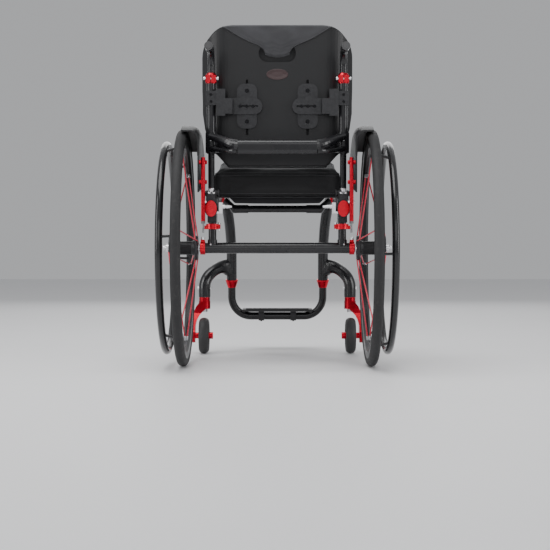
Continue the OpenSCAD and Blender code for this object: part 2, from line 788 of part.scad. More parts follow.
module back_bolts() {
    color("silver") on_both_sides() along_back() {
        // hinge pin, pressed into the post's foot and the sector plate
        bar_x(pin_d, sector_x, seat_tube_x + ear_out + 1);
        translate([seat_tube_x + ear_out + 0.6, 0, 0]) bar_x(13, 0, 3);
        // the posts' tapered feet on the hinge pins
        translate([seat_tube_x, 0, 0]) {
            translate([0, 0, -5.5]) cylinder(h = 15.5, d1 = 6.5, d2 = 15.8);
            translate([0, 0, 9.9]) cylinder(h = foot_top - 9.9, d = 15.8);
            cylinder(h = 32, d = 10);
        }
        // height clamp's cross bolt
        translate([seat_tube_x, -13, 282]) bar_x(5, -17, 17);
        for (x = [-18.5, 15]) translate([seat_tube_x + x, -13, 282]) bar_x(9, 0, 3.5);
        // bolts of the block, the upright plate and the level plate
        for (h = [226, 243]) translate([seat_tube_x, -15, h]) rotate([90, 0, 0]) bolt(3, 7, 2.5, 2);
        for (h = [178, 254]) translate([75, shell_back - 5.3, h]) rotate([90, 0, 0]) bolt(5, 10, 3, 5);
        for (x = [60, 76, 92])
            translate([x, shell_back - 11.6, 215.5]) rotate([90, 0, 0]) bolt(4, 8, 3, 4);
        // rigidizer's bolts
        for (h = [bar_h + 19, bar_h + 30])
            translate([seat_tube_x, -14.4, h]) rotate([90, 0, 0]) bolt(3, 6, 2.4, 2);
    }
}

// ---------------------------------------------------------------- rear wheels

module tyre(s) {
    color([0.07, 0.07, 0.07]) at_rear_wheel(s)
        rotate_extrude($fn = 128) translate([tyre_mid_r, 0]) circle(d = tyre_w);
}

module rim(s) {
    color([0.05, 0.05, 0.06]) at_rear_wheel(s) {
        rotate_extrude($fn = 128) difference() {
            polygon([[rim_inner_r, -4], [rim_inner_r + 8, -9], [rim_inner_r + 26, -10.5],
                [rim_inner_r + 26, 10.5], [rim_inner_r + 8, 9], [rim_inner_r, 4]]);
            translate([tyre_mid_r, 0]) circle(d = tyre_w);
        }
    }
}

spoke_lean = 30;
// Turn of the spoke pattern on the inner flange
spoke_turn = 110;

module spokes(s) {
    pairs = spokes_per_flange / 2;
    color("crimson") at_rear_wheel(s)
        for (side = [-1, 1], lean = [-1, 1], i = [0 : pairs - 1]) {
            a = spoke_turn + (i + (side > 0 ? 0.5 : 0)) * 360 / pairs;
            b = a + lean * spoke_lean;
            z = side * (33 + lean * 2.4);
            hub_end = [28 * cos(a), 28 * sin(a), z];
            rim_end = [(rim_inner_r + 2) * cos(b), (rim_inner_r + 2) * sin(b), side * 1.5];
            near_rim = rim_end + 13 * unit(hub_end - rim_end);
            rod(hub_end, near_rim, 3.6);
            rod(near_rim, rim_end, 5.2);
        }
}

module hub(s) {
    color([0.07, 0.07, 0.08]) at_rear_wheel(s) rotate_extrude() difference() {
        polygon([[6.6, -hub_half_len], [17, -hub_half_len], [17, -36.5], [hub_flange_r, -36],
            [hub_flange_r, -29], [20, -27], [17, -20], [17, 20], [20, 27], [hub_flange_r, 29],
            [hub_flange_r, 36], [17, 36.5], [17, hub_half_len], [6.6, hub_half_len]]);
        for (z = [-1, 1]) translate([0, z > 0 ? hub_half_len - 9 : -hub_half_len - 1]) square([14, 10]);
    }
}

module hub_bearings(s) {
    color("silver") at_rear_wheel(s) for (z = [-hub_half_len + 0.5, hub_half_len - 8.5])
        translate([0, 0, z]) ring(28, inch_axle_d + 2 * running_gap, 8);
}

module handrim(s) {
    color([0.1, 0.1, 0.11]) at_rear_wheel(s) {
        rotate_extrude($fn = 128) translate([handrim_mid_r, handrim_offset]) circle(d = handrim_tube);
        for (i = [0 : rim_tabs - 1]) rotate([0, 0, i * 360 / rim_tabs + tab_turn[s < 0 ? 0 : 1]])
            rod([rim_inner_r + 13, 0, 8.5], [handrim_mid_r, 0, handrim_offset - 3], 7);
    }
}

pin_inner = 150;
pin_outer = 278;

module axle_pin(s) {
    color("silver") on_side(s) translate([0, axle_y, axle_z]) {
        difference() {
            union() {
                bar_x(inch_axle_d, pin_inner, pin_outer);
                bar_x(20, hub_half_len + track_x + 0.6, pin_outer);
            }
            bar_x(6 + 2 * running_gap, pin_outer - 14, pin_outer + 1);
        }
    }
}

module axle_button(s) {
    color([0.7, 0.7, 0.72]) on_side(s) translate([0, axle_y, axle_z]) {
        bar_x(6, pin_outer - 10, pin_outer + 4);
        bar_x(12, pin_outer + 3.4, pin_outer + 7);
    }
}

// ---------------------------------------------------------------- casters

crown_bottom = 123;
crown_top = 145;
fork_round = 20;
nut_d = 17;
nut_h = 9;

module caster_fork(s) {
    far = fork_inner + fork_t;
    color("crimson") on_side(s) translate([caster_x, caster_y, 0]) difference() {
        union() {
            intersection() {
                // front view: one leg that sweeps out and down from the crown
                translate([0, 40, 0]) rotate([90, 0, 0]) linear_extrude(110) polygon([
                    [-4, crown_top], [8, 144], [16, 139], [23, 130], [28, 118], [31, 103],
                    [far, 80], [far, 20], [fork_inner, 20], [fork_inner, 78], [20, 93],
                    [14, 105], [5, 115], [-4, crown_bottom]]);
                // side view: the leg sweeps back to the axle
                translate([-30, 0, 0]) rotate([90, 0, 90]) linear_extrude(100) union() {
                    polygon([[-16, crown_top + 1], [16, crown_top + 1], [15, 112],
                        [-caster_trail + 19, 54], [-caster_trail - 19, 54], [-24, 112]]);
                    translate([-caster_trail, caster_axle_z]) circle(r = fork_round);
                }
            }
            translate([0, 0, crown_bottom]) cylinder(h = crown_top - crown_bottom, d = barrel_d);
            translate([0, 0, crown_top]) cylinder(h = 10.8, d = 31);
            // boss at the leg's foot
            translate([0, -caster_trail, caster_axle_z]) bar_x(20, fork_inner + 1, far + 2);
        }
        translate([0, 0, crown_bottom - 1]) cylinder(h = 40, d = stem_d);
        // room for the stem's nut
        translate([0, 0, crown_bottom - nut_h - 1]) cylinder(h = nut_h + 1, d = nut_d + 1.6);
        translate([0, -caster_trail, caster_axle_z]) bar_x(8, 10, 50);
    }
}

module caster_stem(s) {
    color("silver") on_side(s) translate([caster_x, caster_y, 0]) {
        translate([0, 0, crown_bottom - 1]) cylinder(h = barrel_top - 2.5 - crown_bottom, d = stem_d);
        translate([0, 0, crown_bottom - nut_h]) cylinder(h = nut_h - 0.1, d = nut_d, $fn = 6);
    }
}

module caster_tyre(s) {
    // soft tyre on its hub, with the bearing seats
    color([0.12, 0.12, 0.12]) on_side(s)
        translate([caster_x - 1, caster_y - caster_trail, caster_axle_z]) rotate([0, 90, 0])
            rotate_extrude($fn = 96) union() {
                polygon([[4 + running_gap, -11], [13, -11], [13, -6], [27, -4], [33, -9],
                    [caster_d / 2 - 14, -10.5], [caster_d / 2 - 14, 10.5],
                    [33, 9], [27, 4], [13, 6], [13, 11], [4 + running_gap, 11]]);
                translate([caster_d / 2, 0]) scale([1, caster_w / 28])
                    polygon([[-19, -10], [-14, -13.4], [-10, -14], [-6, -12.8], [-3, -10.2],
                        [-1, -6.4], [0, -2], [0, 2], [-1, 6.4], [-3, 10.2], [-6, 12.8],
                        [-10, 14], [-14, 13.4], [-19, 10]]);
            }
}

module caster_axle(s) {
    color("crimson") on_side(s) translate([caster_x, caster_y - caster_trail, caster_axle_z]) {
        bar_x(8, -24, fork_inner + fork_t + 3);
        bar_x(19, -26, -12.4);
        bar_x(17, 10.4, fork_inner - 0.1);
        translate([fork_inner + fork_t + 2.1, 0, 0]) bar_x(15, 0, 3.4);
    }
}

// ---------------------------------------------------------------- output

side_frame(-1);  // left_side_frame
side_frame(1);  // right_side_frame
frame_end_caps();
front_cross_tube();
red_frame_clamps();
caster_arm(-1);  // left_caster_arm
caster_arm(1);  // right_caster_arm
footrest_collars();
footrest_tube();
footplate();
footplate_clamps();
camber_tube();
camber_plugs();
axle_clamps();
axle_stems();
seat_sling();
seat_cushion();
side_guard(-1);  // left_side_guard
side_guard(1);  // right_side_guard
guard_bars();
frame_bolts();
hinge_bases();
stem_bearings();
lock_plunger(-1);  // left_lock_plunger
lock_plunger(1);  // right_lock_plunger
back_posts();
push_handles();
handle_plugs();
height_clamps();
rigidizer_bar();
back_shell();
back_cushion();
back_brackets();
bracket_plates();
lock_sectors();
back_bolts();
tyre(-1);  // left_tyre
rim(-1);  // left_rim
spokes(-1);  // left_spokes
hub(-1);  // left_hub
hub_bearings(-1);  // left_hub_bearings
handrim(-1);  // left_handrim
axle_pin(-1);  // left_axle_pin
axle_button(-1);  // left_axle_button
tyre(1);  // right_tyre
rim(1);  // right_rim
spokes(1);  // right_spokes
hub(1);  // right_hub
hub_bearings(1);  // right_hub_bearings
handrim(1);  // right_handrim
axle_pin(1);  // right_axle_pin
axle_button(1);  // right_axle_button
caster_fork(-1);  // left_caster_fork
caster_stem(-1);  // left_caster_stem
caster_tyre(-1);  // left_caster_tyre
caster_axle(-1);  // left_caster_axle
caster_fork(1);  // right_caster_fork
caster_stem(1);  // right_caster_stem
caster_tyre(1);  // right_caster_tyre
caster_axle(1);  // right_caster_axle
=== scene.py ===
import json
import math

import bmesh
import bpy
import numpy as np
from mathutils import Matrix, Vector
from mathutils.bvhtree import BVHTree


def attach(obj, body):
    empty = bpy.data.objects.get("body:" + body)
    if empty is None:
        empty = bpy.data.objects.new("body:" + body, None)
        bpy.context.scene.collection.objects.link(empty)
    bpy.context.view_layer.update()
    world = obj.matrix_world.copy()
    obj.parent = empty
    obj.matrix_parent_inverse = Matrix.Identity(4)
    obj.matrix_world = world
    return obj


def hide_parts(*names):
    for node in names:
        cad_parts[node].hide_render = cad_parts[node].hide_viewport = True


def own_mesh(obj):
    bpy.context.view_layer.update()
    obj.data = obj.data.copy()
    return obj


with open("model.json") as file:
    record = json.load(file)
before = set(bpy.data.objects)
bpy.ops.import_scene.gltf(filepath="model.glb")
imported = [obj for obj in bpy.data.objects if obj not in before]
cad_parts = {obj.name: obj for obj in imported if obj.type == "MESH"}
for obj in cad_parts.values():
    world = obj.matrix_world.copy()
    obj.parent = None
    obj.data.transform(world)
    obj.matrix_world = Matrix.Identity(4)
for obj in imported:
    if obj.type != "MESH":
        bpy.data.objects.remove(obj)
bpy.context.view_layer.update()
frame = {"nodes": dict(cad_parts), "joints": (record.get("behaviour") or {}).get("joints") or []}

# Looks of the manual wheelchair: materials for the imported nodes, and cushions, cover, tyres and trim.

nodes = frame["nodes"]
scene = bpy.context.scene

MM = 0.001
SIDES = ("left", "right")


# ---------------------------------------------------------------- places, from the frame

def joint(name):
    return next(j for j in frame["joints"] if j["name"] == name)


HINGE = Vector(joint("backrest_fold")["pos_m"])
AXLE = {side: Vector(joint(side + "_wheel_spin")["pos_m"]) for side in SIDES}
# Lean of the back, and slope of the seat tubes
RECLINE = math.radians(3.0)
SLOPE = math.radians(7.4)
# Rear end of the seat tubes
SEAT_END = Vector((0.0, AXLE["right"].y - 47.5 * MM, 392.5 * MM))

# The seat tubes' own frame (from their rear ends, y forward along them) and the backrest's own frame
# (from the hinge, z up along the posts)
SEAT = Matrix.Translation(SEAT_END) @ Matrix.Rotation(SLOPE, 4, "X")
BACK = Matrix.Translation(HINGE) @ Matrix.Rotation(RECLINE, 4, "X")


# ---------------------------------------------------------------- camera, light and floor

CAMERA_DISTANCE = 3.287
CAMERA_HEIGHT = 0.295
LENS = 86.1


def make_camera():
    data = bpy.data.cameras.new("camera")
    data.lens = LENS
    data.sensor_width = 36.0
    data.shift_x = -0.0042
    data.shift_y = -0.0491
    camera = bpy.data.objects.new("camera", data)
    camera.location = (0.0, AXLE["right"].y - CAMERA_DISTANCE, CAMERA_HEIGHT)
    camera.rotation_euler = (math.pi / 2, 0.0, 0.0)
    scene.collection.objects.link(camera)
    scene.camera = camera


def area_light(name, place, target, size, power, tint=(1.0, 1.0, 1.0)):
    data = bpy.data.lights.new(name, "AREA")
    data.shape = "RECTANGLE"
    data.size, data.size_y = size
    data.energy = power
    data.color = tint
    light = bpy.data.objects.new(name, data)
    light.location = place
    light.rotation_euler = (Vector(target) - Vector(place)).to_track_quat("-Z", "Y").to_euler()
    scene.collection.objects.link(light)


def make_studio():
    middle = (0.0, 0.0, 0.45)
    area_light("key_above", (-0.6, -0.8, 3.2), middle, (2.6, 2.0), 70)
    area_light("left_strip", (-2.6, -1.4, 1.3), middle, (0.8, 2.4), 34)
    area_light("right_strip", (2.6, -1.4, 1.3), middle, (0.8, 2.4), 34)
    area_light("front_fill", (0.0, 3.2, 1.9), middle, (3.0, 2.0), 30)
    area_light("rear_fill", (0.0, -4.2, 1.6), middle, (3.4, 1.6), 26)
    world = bpy.data.worlds.new("studio")
    world.use_nodes = True
    background = world.node_tree.nodes["Background"]
    background.inputs["Color"].default_value = (0.80, 0.81, 0.83, 1.0)
    background.inputs["Strength"].default_value = 0.55
    scene.world = world


def make_floor():
    bm = bmesh.new()
    bmesh.ops.create_grid(bm, x_segments=2, y_segments=2, size=9.0)
    floor = object_from(bm, "floor")
    floor.location.z = -0.0005
    floor.data.materials.append(MATERIALS["floor"])


# ---------------------------------------------------------------- mesh helpers

def object_from(bm, name, smooth=True):
    mesh = bpy.data.meshes.new(name)
    bm.to_mesh(mesh)
    bm.free()
    return object_from_mesh(mesh, name, smooth)


def object_from_mesh(mesh, name, smooth=True):
    mesh.update()
    if smooth:
        mesh.shade_smooth()
    obj = bpy.data.objects.new(name, mesh)
    scene.collection.objects.link(obj)
    return obj


def mesh_from(name, points, faces, smooth=True):
    mesh = bpy.data.meshes.new(name)
    mesh.from_pydata([tuple(p) for p in points], [], faces)
    mesh.validate()
    return object_from_mesh(mesh, name, smooth)


def apply_modifiers(obj):
    """Replaces the object's mesh with what its modifiers give."""
    bpy.context.view_layer.update()
    graph = bpy.context.evaluated_depsgraph_get()
    mesh = bpy.data.meshes.new_from_object(obj.evaluated_get(graph))
    obj.modifiers.clear()
    obj.data = mesh
    return obj


def finish_piece(obj, material, body, replaces=()):
    obj.data.materials.clear()
    obj.data.materials.append(MATERIALS[material])
    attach(obj, body)
    if replaces:
        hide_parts(*replaces)
    return obj


def tube_mesh(bm, points, radius, sides=10, closed=False):
    """Adds a round tube along the points to bm."""
    count = len(points)
    rings = []
    up = None
    for i, p in enumerate(points):
        if closed:
            t = points[(i + 1) % count] - points[i - 1]
        else:
            t = points[min(i + 1, count - 1)] - points[max(i - 1, 0)]
        t.normalize()
        if up is None:
            up = t.orthogonal().normalized()
        up = (up - t * up.dot(t)).normalized()
        side = t.cross(up)
        rings.append([
            bm.verts.new(p + radius * (math.cos(a) * up + math.sin(a) * side))
            for a in (2 * math.pi * k / sides for k in range(sides))])
    pairs = count if closed else count - 1
    for i in range(pairs):
        a, b = rings[i], rings[(i + 1) % count]
        shift = 0
        if closed and i == count - 1:
            shift = min(range(sides), key=lambda k: (a[0].co - b[k].co).length)
        for k in range(sides):
            bm.faces.new((a[k], a[(k + 1) % sides], b[(k + 1 + shift) % sides], b[(k + shift) % sides]))
    if not closed:
        bm.faces.new(rings[0][::-1])
        bm.faces.new(rings[-1])


# ---------------------------------------------------------------- materials

MATERIALS = {}


class Shader:
    """A Principled material with helpers for its procedural detail."""

    def __init__(self, name, color, rough, metallic=0.0, **sockets):
        self.material = bpy.data.materials.new(name)
        self.material.use_nodes = True
        self.tree = self.material.node_tree
        self.bsdf = self.tree.nodes["Principled BSDF"]
        self.color = color
        self.bsdf.inputs["Base Color"].default_value = (*color, 1.0)
        self.bsdf.inputs["Roughness"].default_value = rough
        self.bsdf.inputs["Metallic"].default_value = metallic
        for socket, value in sockets.items():
            self.bsdf.inputs[socket.replace("_", " ").title()].default_value = value
        self.place = self.node("ShaderNodeTexCoord").outputs["Object"]
        MATERIALS[name] = self.material

    def node(self, kind, **settings):
        made = self.tree.nodes.new(kind)
        for key, value in settings.items():
            setattr(made, key, value)
        return made

    def link(self, source, target):
        self.tree.links.new(source, target)

    def noise(self, scale, detail=3.0, rough=0.55, stretch=(1.0, 1.0, 1.0)):
        mapping = self.node("ShaderNodeMapping")
        mapping.inputs["Scale"].default_value = stretch
        self.link(self.place, mapping.inputs["Vector"])
        noise = self.node("ShaderNodeTexNoise")
        noise.inputs["Scale"].default_value = scale
        noise.inputs["Detail"].default_value = detail
        noise.inputs["Roughness"].default_value = rough
        self.link(mapping.outputs["Vector"], noise.inputs["Vector"])
        return noise.outputs["Fac"]

    def bands(self, period, axis="X", turn=(0.0, 0.0, 0.0), profile="SIN"):
        """Stripes that repeat every period metres along an axis, after a turn in degrees."""
        mapping = self.node("ShaderNodeMapping")
        mapping.inputs["Rotation"].default_value = [math.radians(a) for a in turn]
        self.link(self.place, mapping.inputs["Vector"])
        wave = self.node("ShaderNodeTexWave", wave_type="BANDS", bands_direction=axis, wave_profile=profile)
        wave.inputs["Scale"].default_value = math.pi / (10 * period)
        self.link(mapping.outputs["Vector"], wave.inputs["Vector"])
        return wave.outputs["Fac"]

    def math(self, operation, a, b=0.5, clamp=False):
        made = self.node("ShaderNodeMath", operation=operation, use_clamp=clamp)
        for socket, value in zip(made.inputs, (a, b)):
            if isinstance(value, (int, float)):
                socket.default_value = value
            else:
                self.link(value, socket)
        return made.outputs["Value"]

    def spread(self, value, low, high, to_low, to_high):
        made = self.node("ShaderNodeMapRange")
        self.link(value, made.inputs["Value"])
        for key, number in (("From Min", low), ("From Max", high), ("To Min", to_low), ("To Max", to_high)):
            made.inputs[key].default_value = number
        return made.outputs["Result"]

    def mix_color(self, factor, first, second):
        made = self.node("ShaderNodeMix", data_type="RGBA")
        self.link(factor, made.inputs["Factor"])
        for socket, value in ((made.inputs[6], first), (made.inputs[7], second)):
            if isinstance(value, tuple):
                socket.default_value = (*value, 1.0)
            else:
                self.link(value, socket)
        return made.outputs[2]

    def set_color(self, value):
        self.link(value, self.bsdf.inputs["Base Color"])

    def set_rough(self, value):
        self.link(value, self.bsdf.inputs["Roughness"])

    def bump(self, height, depth, strength=1.0):
        """depth is how far the detail stands out, in metres."""
        last = getattr(self, "last_bump", None)
        made = self.node("ShaderNodeBump")
        made.inputs["Strength"].default_value = strength
        made.inputs["Distance"].default_value = depth
        self.link(height, made.inputs["Height"])
        if last:
            self.link(last, made.inputs["Normal"])
        self.last_bump = made.outputs["Normal"]
        self.link(self.last_bump, self.bsdf.inputs["Normal"])

    def edges(self, low=0.52, high=0.6):
        """1 on outer edges, broken up by noise: worn edges, and on the black anodised parts painted edge
        highlights.
        """
        point = self.node("ShaderNodeNewGeometry").outputs["Pointiness"]
        return self.math("MULTIPLY", self.spread(point, low, high, 0.0, 1.0), self.noise(160.0, 4.0), True)


def lighter(color, by):
    return tuple(min(1.0, c * by) for c in color)


def metal(name, color, rough, edge_wear_and_highlight=1.6, metallic=1.0):
    """Machined or anodised metal: fine grain, cloudy tone and lighter edges. The lighter edges are wear, and
    where the lightening is strong (black anodised) they are painted edge highlights.
    """
    s = Shader(name, color, rough, metallic)
    fine = s.noise(900.0, 2.0, 0.6)
    cloud = s.noise(28.0, 4.0)
    s.set_rough(s.spread(cloud, 0.3, 0.7, rough * 0.82, rough * 1.22))
    tone = s.mix_color(cloud, lighter(color, 0.88), lighter(color, 1.12))
    # lighter edges: wear, and a painted edge highlight where the lightening factor is large
    s.set_color(s.mix_color(s.edges(), tone, lighter(color, edge_wear_and_highlight)))
    s.bump(fine, 0.00003, 0.5)
    return s


# Heights of the back brackets' bolts and of the pins below the guard bars, in metres
BRACKET_BOLTS = (0.56, 0.697)
GUARD_PINS = (0.331, 0.3605)
# The pins are further out than this, and the hinge pins' heads are this far from their post's middle
GUARD_PIN_OUT = 0.17
POST_OUT = 0.163
PIN_HEAD_FROM = 0.0082
PIN_HEAD_RADIUS = 0.009


def fastener(name, color, dark, rough):
    """Bright bolts and pins. The back brackets' bolts and the hinge pins' heads are blackened, and the
    pins below the guard bars are darkened to a third of their bright colour."""
    s = metal(name, color, rough, edge_wear_and_highlight=1.05)
    split = s.node("ShaderNodeSeparateXYZ")
    s.link(s.place, split.inputs["Vector"])
    out = s.math("ABSOLUTE", split.outputs["X"])
    height = split.outputs["Z"]

    def between(low, high):
        return s.math("MULTIPLY", s.math("GREATER_THAN", height, low), s.math("LESS_THAN", height, high))

    def distance(value, target):
        return s.math("ABSOLUTE", s.math("SUBTRACT", value, target))

    head = s.math("MULTIPLY", s.math("LESS_THAN", distance(height, HINGE.z), PIN_HEAD_RADIUS),
                  s.math("GREATER_THAN", distance(out, POST_OUT), PIN_HEAD_FROM))
    black = s.math("MAXIMUM", between(*BRACKET_BOLTS), head)
    # the pins below the guard bars are darkened to a third of the bright colour
    darkened_pins = s.math("MULTIPLY", between(*GUARD_PINS), s.math("GREATER_THAN", out, GUARD_PIN_OUT))
    bright = s.bsdf.inputs["Base Color"].links[0].from_socket
    tone = s.mix_color(darkened_pins, bright, lighter(color, 0.3))
    s.set_color(s.mix_color(black, tone, dark))
    return s


def coated(name, color, rough, coat, peel=0.00006):
    """Painted or lacquered tube: orange peel, faint dust and soft edge wear."""
    s = Shader(name, color, rough, 0.0, Coat_Weight=coat, Coat_Roughness=0.12)
    s.bsdf.inputs["Specular IOR Level"].default_value = 0.3
    cloud = s.noise(16.0, 5.0)
    s.set_rough(s.spread(cloud, 0.3, 0.75, rough * 0.8, rough * 1.25))
    tone = s.mix_color(cloud, lighter(color, 0.8), lighter(color, 1.35))
    s.set_color(s.mix_color(s.edges(0.54, 0.66), tone, lighter(color, 1.7)))
    s.bump(s.noise(420.0, 2.0), peel, 0.6)
    return s


def carbon(name, color, rough, coat):
    """Twill of 2 mm tows under a satin lacquer."""
    s = Shader(name, color, rough, 0.0, Coat_Weight=coat, Coat_Roughness=0.24)
    s.bsdf.inputs["Specular IOR Level"].default_value = 0.3
    warp = s.bands(0.0040, "X", (0.0, 35.0, 0.0))
    weft = s.bands(0.0040, "Z", (0.0, 35.0, 0.0))
    diagonal = s.bands(0.0080, "DIAGONAL", (0.0, -10.0, 0.0))
    over = s.math("GREATER_THAN", diagonal, 0.5)
    tows = s.node("ShaderNodeMix", data_type="FLOAT")
    s.link(over, tows.inputs["Factor"])
    s.link(warp, tows.inputs[2])
    s.link(weft, tows.inputs[3])
    cloud = s.noise(9.0, 4.0)
    weave = s.mix_color(tows.outputs[0], lighter(color, 0.75), lighter(color, 1.3))
    s.set_color(s.mix_color(s.spread(cloud, 0.3, 0.8, 0.0, 0.5), weave, lighter(color, 1.5)))
    s.set_rough(s.spread(cloud, 0.3, 0.7, rough * 0.85, rough * 1.2))
    s.bump(tows.outputs[0], 0.00004, 0.35)
    return s


def fabric(name, color, rough, thread, sheen, turn=(0.0, 0.0, 0.0), depth=0.0002):
    """Woven cover: two sets of threads, tone variation and lint."""
    s = Shader(name, color, rough, 0.0, Sheen_Weight=sheen, Sheen_Roughness=0.45)
    s.bsdf.inputs["Sheen Tint"].default_value = (0.75, 0.77, 0.8, 1.0)
    s.bsdf.inputs["Specular IOR Level"].default_value = 0.25
    across = s.bands(thread, "X", turn)
    along = s.bands(thread, "Z", turn)
    depthwise = s.bands(thread, "Y", turn)
    cloth = s.math("MULTIPLY", s.math("ADD", across, along), s.math("ADD", depthwise, 0.6))
    cloth = s.math("MULTIPLY", cloth, 0.4)
    cloud = s.noise(14.0, 5.0)
    lint = s.noise(700.0, 2.0)
    tone = s.mix_color(s.spread(cloud, 0.3, 0.7, 0.0, 1.0), lighter(color, 0.8), lighter(color, 1.25))
    tone = s.mix_color(s.spread(cloth, 0.0, 1.0, 0.5, 0.0), tone, lighter(color, 0.45))
    s.set_color(s.mix_color(s.spread(lint, 0.62, 0.8, 0.0, 0.5), tone, lighter(color, 2.4)))
    s.set_rough(s.spread(cloud, 0.3, 0.7, rough * 0.92, min(1.0, rough * 1.08)))
    s.bump(cloth, depth, 0.8)
    s.bump(s.noise(60.0, 3.0), 0.0004, 0.35)
    return s


def rubber(name, color, rough):
    s = Shader(name, color, rough, 0.0)
    s.bsdf.inputs["Specular IOR Level"].default_value = 0.35
    cloud = s.noise(20.0, 5.0)
    dust = s.noise(90.0, 5.0, 0.7)
    tone = s.mix_color(cloud, lighter(color, 0.8), lighter(color, 1.2))
    s.set_color(s.mix_color(s.spread(dust, 0.55, 0.8, 0.0, 0.35), tone, (0.12, 0.115, 0.11)))
    s.set_rough(s.spread(dust, 0.3, 0.7, rough * 0.9, min(1.0, rough * 1.15)))
    s.bump(s.noise(1500.0, 2.0), 0.00005, 0.5)
    return s


def spoke_shader(name, color, nipple_from):
    """Red fibre spokes, with bright nipples beyond nipple_from metres from the axle."""
    s = Shader(name, color, 0.32, 0.0, Coat_Weight=0.5, Coat_Roughness=0.12)
    split = s.node("ShaderNodeSeparateXYZ")
    s.link(s.place, split.inputs["Vector"])
    dy = s.math("SUBTRACT", split.outputs["Y"], AXLE["right"].y)
    dz = s.math("SUBTRACT", split.outputs["Z"], AXLE["right"].z)
    square = s.math("ADD", s.math("MULTIPLY", dy, dy), s.math("MULTIPLY", dz, dz))
    nipple = s.math("GREATER_THAN", s.math("SQRT", square), nipple_from)
    fibre = s.noise(600.0, 3.0)
    tone = s.mix_color(fibre, lighter(color, 0.75), lighter(color, 1.25))
    s.set_color(s.mix_color(nipple, tone, (0.78, 0.78, 0.8)))
    s.link(nipple, s.bsdf.inputs["Metallic"])
    s.set_rough(s.spread(fibre, 0.3, 0.7, 0.26, 0.4))
    s.bump(fibre, 0.00004, 0.6)


def make_materials():
    black = (0.010, 0.010, 0.0115)
    red = (0.52, 0.014, 0.030)
    coated("frame_black", black, 0.27, 0.35)
    coated("handrim_black", (0.011, 0.011, 0.012), 0.22, 0.45, peel=0.00003)
    coated("rim_black", (0.010, 0.010, 0.011), 0.34, 0.2)
    coated("cap_grey", (0.035, 0.035, 0.037), 0.28, 0.6, peel=0.00003)
    # black anodised: its edges are lightened strongly, a painted edge highlight on the plates' outlines
    metal("black_anodised", (0.013, 0.013, 0.014), 0.40, metallic=0.5, edge_wear_and_highlight=4.0)
    metal("red_anodised", red, 0.30, edge_wear_and_highlight=1.7)
    # a darker copy of the red: painted shade on the guard bars and caster forks, which sit in shadow
    metal("red_anodised_painted_shade", lighter(red, 0.70), 0.30, edge_wear_and_highlight=1.7)
    fastener("bright_steel", (0.86, 0.86, 0.88), (0.020, 0.020, 0.022), 0.30)
    metal("bearing_steel", (0.55, 0.55, 0.57), 0.3, edge_wear_and_highlight=1.2)
    metal("footplate_black", (0.017, 0.017, 0.018), 0.42, metallic=0.4, edge_wear_and_highlight=2.2)
    carbon("carbon_shell", (0.0105, 0.0105, 0.0115), 0.42, 0.12)
    carbon("carbon_guard", (0.011, 0.011, 0.012), 0.42, 0.1)
    fabric("cover_fabric", (0.019, 0.019, 0.020), 0.85, 0.0016, 0.12)
    fabric("flap_fabric", (0.052, 0.052, 0.056), 0.8, 0.0013, 0.4)
    fabric("piping_fabric", (0.018, 0.018, 0.019), 0.8, 0.0012, 0.3)
    fabric("mesh_fabric", (0.024, 0.024, 0.026), 0.9, 0.0030, 0.2, depth=0.0005)
    fabric("webbing", (0.016, 0.016, 0.018), 0.75, 0.0022, 0.2, (0.0, 0.0, 0.0), 0.0004)
    rubber("tyre_rubber", (0.021, 0.021, 0.022), 0.62)
    rubber("caster_rubber", (0.036, 0.036, 0.037), 0.5)
    spoke_shader("red_spoke", (0.60, 0.014, 0.045), 0.2395)
    coated("thread_grey", (0.10, 0.10, 0.105), 0.6, 0.0)
    coated("badge_red", (0.045, 0.026, 0.027), 0.45, 0.2)
    floor = Shader("floor", (0.80, 0.80, 0.81), 0.55)
    floor.set_rough(floor.spread(floor.noise(3.0), 0.3, 0.7, 0.5, 0.62))
    floor.bump(floor.noise(300.0, 2.0), 0.0001, 0.3)


NODE_LOOKS = {
    "frame_black": ["left_side_frame", "right_side_frame", "front_cross_tube", "left_caster_arm",
                    "right_caster_arm", "footrest_tube", "camber_tube", "axle_stems", "back_posts",
                    "push_handles", "rigidizer_bar", "camber_plugs"],
    "red_anodised": ["frame_end_caps", "red_frame_clamps", "footrest_collars", "axle_clamps",
                     "height_clamps", "left_caster_axle", "right_caster_axle"],
    # the guard bars and caster forks take the red darkened as painted shade
    "red_anodised_painted_shade": ["guard_bars", "left_caster_fork", "right_caster_fork"],
    "black_anodised": ["hinge_bases", "back_brackets", "bracket_plates",
                       "lock_sectors", "footplate_clamps", "left_hub", "right_hub"],
    "bright_steel": ["frame_bolts", "back_bolts", "left_lock_plunger", "right_lock_plunger",
                     "left_axle_pin", "right_axle_pin", "left_axle_button", "right_axle_button",
                     "left_caster_stem", "right_caster_stem"],
    "bearing_steel": ["stem_bearings", "left_hub_bearings", "right_hub_bearings"],
    "footplate_black": ["footplate"],
    "carbon_shell": ["back_shell"],
    "carbon_guard": ["left_side_guard", "right_side_guard"],
    "cover_fabric": ["seat_cushion", "back_cushion"],
    "mesh_fabric": ["seat_sling"],
    "handrim_black": ["left_handrim", "right_handrim"],
    "rim_black": ["left_rim", "right_rim"],
    "tyre_rubber": ["left_tyre", "right_tyre"],
    "caster_rubber": ["left_caster_tyre", "right_caster_tyre"],
    "cap_grey": ["handle_plugs"],
    "red_spoke": ["left_spokes", "right_spokes"],
}

